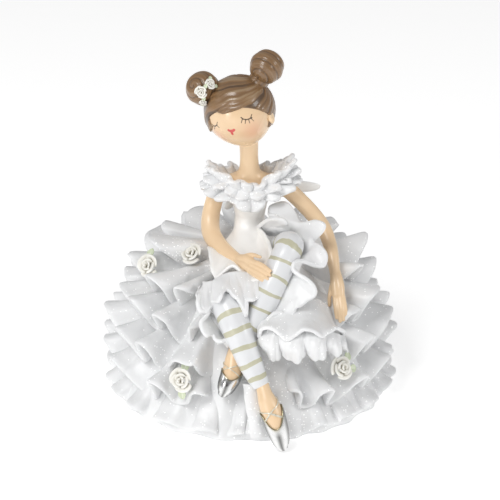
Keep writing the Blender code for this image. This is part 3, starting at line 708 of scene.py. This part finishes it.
# Each arm: its middle line and half widths, the two halves of the palm, and the fingers from the first
# to the thumb
ARMS = {
    "right": (
        [(-9.5, 3, 92), (-13.6, 3, 89.5), (-15.2, 2.2, 84.5), (-16.8, 0, 77.6), (-16.4, -5, 72),
         (-12.6, -12, 69), (-8.2, -18.6, 68), (-4.6, -23.2, 67.6)],
        [3.6, 3.8, 3.7, 3.9, 4, 3.6, 3, 2.3],
        [[(-5.2, -22.5, 68), (-1.7, -27.4, 69.9), (1.2, -30.9, 70)],
         [(-5.2, -23.2, 67.4), (-2.3, -28.6, 68), (0, -32, 67.6)]],
        [[(0.6, -30.6, 70.6), (4.8, -35.8, 71.3), (8.5, -40, 70.4)],
         [(0.5, -31.6, 69.5), (4.8, -36.8, 69.6), (8.4, -40.6, 68.6)],
         [(0.1, -32.2, 68.2), (4.1, -37.2, 67.9), (7.4, -40.6, 67)],
         [(-0.6, -32.4, 67), (3, -36.8, 66.3), (5.6, -39.6, 65.6)],
         [(-2.6, -25.4, 70.4), (0.8, -28.2, 72.4), (4.4, -32, 73)]],
    ),
    "left": (
        [(9, 3, 93), (14.4, 2.8, 90.4), (20, 1.8, 85.6), (26, -0.6, 80), (31, -4.4, 74.6),
         (33.7, -9.6, 69.6), (35, -15, 64.8), (35.8, -19.6, 60.2)],
        [3.5, 3.7, 3.5, 3.5, 3.3, 3, 2.7, 2.2],
        [[(35.5, -19.2, 60.6), (36, -23.2, 56.2), (36.2, -26.6, 52.6)],
         [(36.3, -19.2, 60.6), (37.6, -23.2, 56.4), (38.3, -26.4, 52.8)]],
        [[(35.5, -26, 53), (35.9, -29.6, 48.8), (36.3, -31.9, 44.8)],
         [(36.8, -26.6, 52.6), (37.3, -30.6, 47.9), (37.8, -32.8, 43.6)],
         [(38, -26.6, 52.8), (38.7, -30.6, 48.1), (39.2, -32.6, 44.2)],
         [(38.9, -25.8, 53.4), (39.9, -29.4, 49.2), (40.5, -31.4, 45.8)],
         [(34.9, -21.4, 57.4), (33.6, -25, 52.4), (33.3, -27.6, 48.6)]],
    ),
}
for side, (points, radii, palms, fingers) in ARMS.items():
    forms = [limb(points, radii, (0, 1, 0), 32, 60)]
    forms += [limb(palm, PALM_GIRTH, (0, 1, 0), 24, 24) for palm in palms]
    forms += [limb(finger, FINGER_GIRTH, (0, 1, 0), 16, 24) for finger in fingers]
    bm = gather(forms)
    bmesh.ops.recalc_face_normals(bm, faces=bm.faces)
    clay = formed("clay", bm)
    fused = clay.modifiers.new("fused", "REMESH")
    fused.mode = "VOXEL"
    fused.voxel_size = SKIN_VOXEL * MM
    rubbed = clay.modifiers.new("rubbed", "SMOOTH")
    rubbed.factor = 0.5
    rubbed.iterations = 2
    bpy.context.view_layer.update()
    skin = bpy.data.meshes.new_from_object(clay.evaluated_get(bpy.context.evaluated_depsgraph_get()))
    bpy.data.objects.remove(clay)
    bm = bmesh.new()
    bm.from_mesh(skin)
    piece(f"{side}_arm", bm, skin_paint)


# The collar: three frills of thick gathered resin round the shoulders, whose free edges run in round
# loops. The lower ones hang over the arms and the upper one stands round the neckline, a little higher on
# the left shoulder than on the right.
COLLAR_WALL = 2.3

# Each frill: the half width, half depth and height of its seam and of its hem, its folds, how far they
# swing, and the turn that sets its folds off from the other frills'
COLLAR = {
    "collar_lower": ((12.4, 7.4, 90.8), (20.6, 11.4, 84.8), 17, 1.9, 0.7),
    "collar_middle": ((12.6, 7.6, 92.4), (19.6, 10.8, 89.4), 16, 1.8, 3.9),
    "collar_upper": ((12.4, 7.2, 91.2), (17.6, 8.6, 96), 15, 1.8, 2.4),
}
for name, (seam, hem, folds, swing, turn) in COLLAR.items():
    def frill(u, v):
        """A place on the frill; it climbs up the sloping shoulders to either side."""
        angle = 2 * math.pi * u
        fold = folds * angle + turn + 1.3 * math.sin(2 * angle + turn) + 0.8 * math.sin(5 * angle + turn)
        spot = Vector((math.cos(angle), math.sin(angle), turn)) * 3
        size = 1 + 0.8 * noise.noise(spot)
        free = v**0.8
        loop = size * swing * free * math.sin(fold)
        around = angle - free * (0.55 * math.sin(2 * fold) + 0.8 * noise.noise(spot * 1.7)) / folds
        across = seam[0] + (hem[0] - seam[0]) * v + loop
        deep = seam[1] + (hem[1] - seam[1]) * v + loop
        x, y = across * math.cos(around), 2 + deep * math.sin(around)
        high = seam[2] + (hem[2] - seam[2]) * v + 0.36 * abs(x) - 1.4 + (0.12 if x > 0 else 0.02) * x * v
        high += v * (0.9 * math.cos(fold * 0.5 + turn) + 1.2 * noise.noise(spot * 1.3))
        return at(x + 0.3, y, high)

    piece(name, sheet(folds * 10, 8, frill, closed=True), glitter_resin, wall=COLLAR_WALL, smoothing=1)


# The head: a smooth ball, a little drawn in to the chin, with one ear, tilted and turned to its right.
# The closed eyes, lips and cheeks are only painted on.
HEAD_CENTRE = Vector((-4.2, 0.0, 125.4))
HEAD_RADIUS = 14.4
HEAD_TURN = Euler([math.radians(a) for a in (7, -19, -18)]).to_matrix()


def head_shape(x, y, z):
    """A direction from the head's middle, as a place on a head of radius 1 that narrows to the chin."""
    narrow = 1 - 0.16 * max(0.0, -z)**1.5
    return Vector((x * narrow, y * narrow, z * (1.05 if z < 0 else 1.02)))


def on_head(way, proud=1.0):
    """A place on the head, from a direction seen from its middle: x to its left, -y forward, z up."""
    return at(*(HEAD_CENTRE + HEAD_TURN @ head_shape(*way) * HEAD_RADIUS * proud))


# Strokes of paint on the face, as directions seen from the middle of the head, and half widths in mm;
# each cheek is a direction and a radius
LASHES = [
    ([(.376, -.912, .165), (.424, -.901, .094), (.504, -.862, .044), (.582, -.812, .037),
      (.633, -.773, .035)], .22),
    ([(.593, -.804, .040), (.652, -.748, .120)], .17),
    ([(.400, -.909, .116), (.339, -.940, .018)], .17),
    ([(.472, -.879, .063), (.427, -.904, -.039)], .17),
    ([(.542, -.839, .037), (.537, -.839, -.083)], .17),
    ([(.602, -.798, .034), (.642, -.762, -.080)], .17),
    ([(-.606, -.789, .106), (-.564, -.824, .062), (-.489, -.870, .068), (-.410, -.906, .107)], .22),
    ([(-.438, -.894, .094), (-.369, -.910, .189)], .17),
    ([(-.505, -.861, .067), (-.586, -.809, -.043)], .17),
    ([(-.433, -.897, .088), (-.374, -.927, .019)], .17),
    ([(-.579, -.812, .073), (-.657, -.754, -.003)], .17),
]
LIPS = [
    ([(-.100, -.986, -.098), (-.040, -.985, -.165)], .58),
    ([(.060, -.986, -.122), (-.037, -.985, -.165)], .58),
    ([(-.042, -.984, -.165), (-.052, -.968, -.245)], .52),
    ([(-.070, -.988, -.125), (.030, -.990, -.140)], .60),
]
CHEEKS = [((.52, -.77, -.36), 4.6), ((-.55, -.76, -.30), 3.6)]
UNPAINTED = 9.0  # what a spot far from every stroke counts as


def stroke_edge(strokes, spot):
    """How far a spot on the head, in mm from its middle, lies outside the nearest stroke of paint."""
    best = UNPAINTED
    for line, half in strokes:
        ends = [Vector(p).normalized() * HEAD_RADIUS for p in line]
        for a, b in zip(ends, ends[1:]):
            t = held((spot - a).dot(b - a) / (b - a).length_squared)
            best = min(best, (spot - a.lerp(b, t)).length - half)
    return best


# The face's skin: the same peach acrylic, glossier, with cheeks rubbed in pink while it was wet, and
# lashes and lips drawn on it with a fine brush.
face_paint, tree, place = blank("painted_face_gloss_peach")
cloud, bare = mottled(tree, place, 14.3, 3.0, "E4C199", "EACFAA")
warm = laid_over(tree, bare, "DF9A78", "flush")
reddened = laid_over(tree, warm, "CE4C48", "lips", none=0.12, full=-0.12)
tone = laid_over(tree, reddened, "4A3A2C", "lashes", none=0.07, full=-0.05)
coat(tree, tone, cloud, (0.24, 0.3), cloud, (0.1, 0.3), (0.5, 0.15))


def face_way(u, v):
    """Directions in rings round the middle of the face, which are closest together on the face."""
    polar = math.pi * (0.42 * v + 0.58 * v**2.2)
    angle = 2 * math.pi * u
    return Vector((math.sin(polar) * math.cos(angle), -math.cos(polar), math.sin(polar) * math.sin(angle)))


def blush(u, v):
    """How strong the pink of the cheeks is."""
    way = face_way(u, v)
    return max(0.5 * math.exp(-((way - Vector(cheek).normalized()).length * HEAD_RADIUS / radius)**2)
               for cheek, radius in CHEEKS)


bm = sheet(240, 120, lambda u, v: on_head(face_way(u, v)), closed=True, marks={
    "lashes": lambda u, v: stroke_edge(LASHES, face_way(u, v) * HEAD_RADIUS) if v < 0.62 else UNPAINTED,
    "lips": lambda u, v: stroke_edge(LIPS, face_way(u, v) * HEAD_RADIUS) if v < 0.4 else UNPAINTED,
    "flush": blush,
})
piece("head", bm, face_paint)

EAR_WAY = Vector((0.97, -0.20, -0.32)).normalized()
EAR_HALF = (1.3, 2.0, 2.9)


def ball_way(u, v, axis=(0, 0, 1), side=(1, 0, 0)):
    """A direction from a ball's middle: v turns it down from the axis, and u round it from the side."""
    axis, side = Vector(axis), Vector(side)
    polar, angle = math.pi * v, 2 * math.pi * u
    out = side * math.cos(angle) + axis.cross(side) * math.sin(angle)
    return axis * math.cos(polar) + out * math.sin(polar)


def ear_place(u, v):
    """An egg shape, hollowed on its outer side."""
    x, y, z = ball_way(u, v)
    dent = 1 - 0.35 * math.exp(-((y + 0.15)**2 + z**2) * 5) * (x > 0)
    local = Vector((x * EAR_HALF[0] * dent, y * EAR_HALF[1], z * EAR_HALF[2]))
    return at(*(HEAD_CENTRE + HEAD_TURN @ (EAR_WAY * HEAD_RADIUS + local)))


piece("left_ear", sheet(32, 20, ear_place, closed=True), skin_paint)


# The hair: a cap over the head combed from a parting under the left bun, and two coiled buns, all
# carved with fine grooves for the strands.

# Hair: brown acrylic under gloss varnish, with painted shade darkening the grooves and a paler painted
# highlight on the ridges. The strands are about 1.5 mm apart.
hair_paint, tree, place = blank("painted_hair_gloss_brown")
strands = add(tree, "ShaderNodeAttribute", attribute_name="strand")
wash, brown = mottled(tree, place, 11.1, 3.0, "6F5338", "94734F")
groove_shade = laid_over(tree, brown, "58432F", "strand", none=0.45, full=0.0)
tone = laid_over(tree, groove_shade, "AD977A", "strand", none=0.75, full=1.0, most=0.5)
coat(tree, tone, wash, (0.26, 0.4), strands.outputs["Fac"], (0.5, 0.2), (0.4, 0.15))

BUN_RADIUS = 7.1
BUNS = {"left_bun": (Vector((11.2, 1.5, 19.2)), 1.1), "right_bun": (Vector((-15.4, 1.5, 9.6)), 0.55)}


def bun_centre(name):
    """The middle of a bun, which stands off the head by its reach in its own radius."""
    way, reach = BUNS[name]
    return HEAD_CENTRE + way.normalized() * (HEAD_RADIUS + BUN_RADIUS * reach)


COMB_AXIS = HEAD_TURN.transposed() @ BUNS["left_bun"][0].normalized()
COMB_SIDE = COMB_AXIS.cross(Vector((0, 1, 0))).normalized()
COMB_UP = COMB_AXIS.cross(COMB_SIDE)


def strand(way):
    """How high a spot of the cap is in its groove or on its ridge, from 0 to 1."""
    angle = math.atan2(way.dot(COMB_UP), way.dot(COMB_SIDE))
    away = math.acos(min(max(way.dot(COMB_AXIS), -1.0), 1.0))
    sway = 0.75 * away + 0.10 * noise.noise(way * 3)
    wave = noise.noise(Vector(((angle + sway) * 6, away * 0.7, 0.0))) * 1.4
    fine = noise.noise(Vector(((angle + sway) * 17, away * 1.0, 4.0)))
    return held(0.5 + 0.75 * wave + 0.35 * fine)


def hair_cover(way):
    """1 inside the hairline and 0 on the face."""
    x, y, z = way
    fringe = z - 0.39 - 0.35 * max(0.0, -x - 0.12)
    behind = y + 0.45 + 0.86 * max(z, -0.2)
    lock = -x - 0.64 - max(0.0, -z)
    inside = min(max(fringe, behind, lock), (z + 0.6 + (0.35 if y > 0 else 0.2) * y) * 0.7)
    share = held(inside / 0.05 + 0.5)
    return share * share * (3 - 2 * share)


def hair_place(u, v):
    """The cap lies just under the face's skin, and stands off it inside the hairline, ridge by ridge."""
    way = ball_way(u, v)
    return on_head(way, 0.955 + 0.10 * hair_cover(way) + 0.028 * (strand(way) - 0.5))


bm = sheet(260, 140, hair_place, closed=True, marks={"strand": lambda u, v: strand(ball_way(u, v))})
piece("hair_cap", bm, hair_paint)

LOCK_WIDTH = 4.6  # of the rope of hair that is coiled into a bun


def wound(u, v):
    """The strands round the root of a bun, from 1 on a ridge down to -1."""
    return math.cos(math.pi * (18 * u + 3 * v))


for name, swirl in (("left_bun", (-.59, -.73, -.35)), ("right_bun", (-.55, -.70, .45))):
    centre = bun_centre(name)
    axis = Vector(swirl).normalized()
    side = axis.cross(Vector((0, 0, 1))).normalized()

    def coil(u, v):
        """How high a spot of the bun is on its coiled lock and its strands, from 0 to 1."""
        polar, angle = math.pi * v, 2 * math.pi * u
        turn = 2 * math.pi * polar * BUN_RADIUS / LOCK_WIDTH + angle
        lock = abs(math.cos(turn / 2))**0.7
        fine = 0.5 + 0.5 * math.cos(turn * 3 + 3 * noise.noise(Vector((polar * 2, 0, 1))))
        return lock * 0.72 + 0.13 * fine

    def bun(u, v):
        return at(*(centre + ball_way(u, v, axis, side) * (BUN_RADIUS + 0.7 * (coil(u, v) - 0.6))))

    piece(name, sheet(110, 70, bun, closed=True, marks={"strand": coil}), hair_paint)

    inward = (HEAD_CENTRE - centre).normalized()
    root = centre + inward * BUN_RADIUS * 0.95
    across = inward.cross(Vector((0, 1, 0))).normalized()

    def knot(u, v):
        size = BUN_RADIUS * 0.62 * (1 + 0.03 * wound(u, v))
        return at(*(root + ball_way(u, v, inward, across) * size))

    bm = sheet(72, 30, knot, closed=True, marks={"strand": lambda u, v: 0.45 + 0.25 * wound(u, v)})
    piece(f"{name}_root", bm, hair_paint)


# The roses: small rolled flowers with open petals and pale green leaves, carved on the skirt and in
# the hair, and painted cream over the white.

# Cream acrylic with painted shade: darker towards the bases of the petals, deep between them, and paler out
# to their rims.
rose_paint, tree, place = blank("painted_rose_cream")
rim_share = add(tree, "ShaderNodeAttribute", attribute_name="rim")
wash = add(tree, "ShaderNodeTexNoise", {"Vector": place, "Scale": every(3.33), "Detail": 3.0})
painted_light_share = add(tree, "ShaderNodeMath", {0: wash.outputs["Fac"], 1: 0.5, 2: rim_share.outputs["Fac"]},
             operation="MULTIPLY_ADD")
# Painted shade on the petals, mapped from dark at their bases to pale at their rims.
depth = add(tree, "ShaderNodeMapRange", {"Value": painted_light_share.outputs[0], "From Min": 0.2, "From Max": 1.3})
tone = add(tree, "ShaderNodeMix", {0: depth.outputs["Result"], 6: linear("CBC5B4"), 7: linear("FAF9F4")},
           data_type="RGBA")
coat(tree, tone.outputs[2], wash.outputs["Fac"], (0.35, 0.5), wash.outputs["Fac"], (0.2, 0.2))

# Leaf green acrylic, thinned until the white shows through, with a lighter middle rib.
leaf_paint, tree, place = blank("painted_leaf_pale_green")
wash, tint = mottled(tree, place, 3.85, 3.0, "BFCBA6", "DCE3CC")
tone = laid_over(tree, tint, "E2E7D2", "rim")
coat(tree, tone, wash, (0.35, 0.5), wash, (0.2, 0.2))

ROSE_RADIUS = 5.0


def rose(name, centre, facing, share, leaves):
    """A rose of spiralling petals that opens along facing, and leaves at the given angles round it."""
    out = Vector(facing).normalized()
    side = out.cross(Vector((0.2, 0.1, 1))).normalized()
    up = side.cross(out)
    size = ROSE_RADIUS * share
    forms = []
    for i in range(9):
        ring = i / 8
        turn = i * 2.4
        reach = size * (0.12 + 0.74 * ring)
        high = size * (0.62 - 0.42 * ring)
        spread = 1.35 - 0.40 * ring

        def petal(u, v):
            angle = turn + (u - 0.5) * 2 * spread
            lip = math.sin(u * math.pi)**0.5
            flare = v * (0.08 + 0.34 * ring) * size
            rise = (v**0.8) * (0.35 + 0.22 * lip) * size
            curl = max(0.0, v - 0.65) * 2.8
            r = reach * 0.72 + flare + curl * (0.08 + 0.08 * ring) * size
            r *= 1 - 0.12 * (1 - lip) + 0.04 * math.sin(5 * u + i)
            h = high - 0.45 * size + rise - curl * 0.14 * size
            return at(*(Vector(centre) + out * h + (side * math.cos(angle) + up * math.sin(angle)) * r))

        forms.append(sheet(10, 6, petal, marks={"rim": lambda u, v: v**1.5}))
    piece(name, gather(forms), rose_paint, wall=0.85 * share, smoothing=1)

    forms = []
    for angle in leaves:
        way = side * math.cos(angle) + up * math.sin(angle)
        across = out.cross(way)

        def leaf(u, v):
            half = math.sin(v * math.pi)**0.7 * 0.36 * size
            bend = -0.25 * size * v * v + abs(u - 0.5) * 0.25 * size
            return at(*(Vector(centre) + way * size * (0.75 + 0.85 * v) + across * (u - 0.5) * 2 * half
                        + out * (bend + 0.05 * size)))

        forms.append(sheet(6, 10, leaf, marks={"rim": lambda u, v: max(0.0, 1 - abs(u - 0.5) * 6)}))
    piece(f"{name}_leaves", gather(forms), leaf_paint, wall=0.5 * share**0.5, smoothing=1)


for name, centre, facing, leaves in (
    ("rose_side", (-42.8, -12.5, 60), (-0.5, -0.7, 0.6), (1.2, 3.6)),
    ("rose_lap", (-24.5, -13, 65.5), (-0.35, -0.5, 0.8), (0.4,)),
    ("rose_front_right", (-28, -51, 25.6), (-0.4, -0.85, 0.4), (1.5, 4.4)),
    ("rose_front_left", (38, -44.5, 28), (0.55, -0.75, 0.45), (3.2, 2.2)),
):
    rose(name, centre, facing, 1.0, leaves)
for name, way, share, leaves in (
    ("hair_rose_low", (-0.05, -1, 0.15), 0.5, (4.2, 2)),
    ("hair_rose_high", (0.42, -0.75, 0.5), 0.44, (1.6, 3.4)),
    ("hair_rose_bud", (0.05, -0.85, -0.5), 0.34, (4.6,)),
):
    way = Vector(way).normalized()
    rose(name, bun_centre("right_bun") + way * (BUN_RADIUS + ROSE_RADIUS * share * 0.3), way, share, leaves)


# The sash's bow, behind the shoulders: two rounded loops, two tails and a knot, painted pearl white as
# the bodice is.
for name, start, end, thick, high in (
    ("bow_left_loop", (2, 9, 88.5), (30.5, 14.5, 85.4), 1.6, 2.7),
    ("bow_right_loop", (-2, 9, 88.5), (-18, 14.5, 87), 1.6, 2.7),
    ("bow_left_tail", (1, 10, 87), (24, 14.5, 81.5), 1.4, 2),
    ("bow_right_tail", (-1, 10, 87), (-11, 15, 75), 1.4, 2.2),
    ("bow_knot", (-3.2, 9, 87.6), (3.2, 9, 87.6), 2.8, 3),
):
    run = Vector(end) - Vector(start)
    along_run = run.normalized()
    flat = along_run.cross(Vector((0, 0, 1))).normalized()
    tall = flat.cross(along_run)

    def lobe(u, v):
        polar, angle = math.pi * v, 2 * math.pi * u
        fat = math.sin(polar)**0.8
        pleat = 1 - 0.14 * math.cos(3 * angle) * math.sin(polar)
        return at(*(Vector(start) + run * (0.5 - 0.5 * math.cos(polar))
                    + (flat * math.cos(angle) * thick + tall * math.sin(angle) * high) * fat * pleat))

    piece(name, sheet(40, 28, lobe, closed=True), pearl_paint)
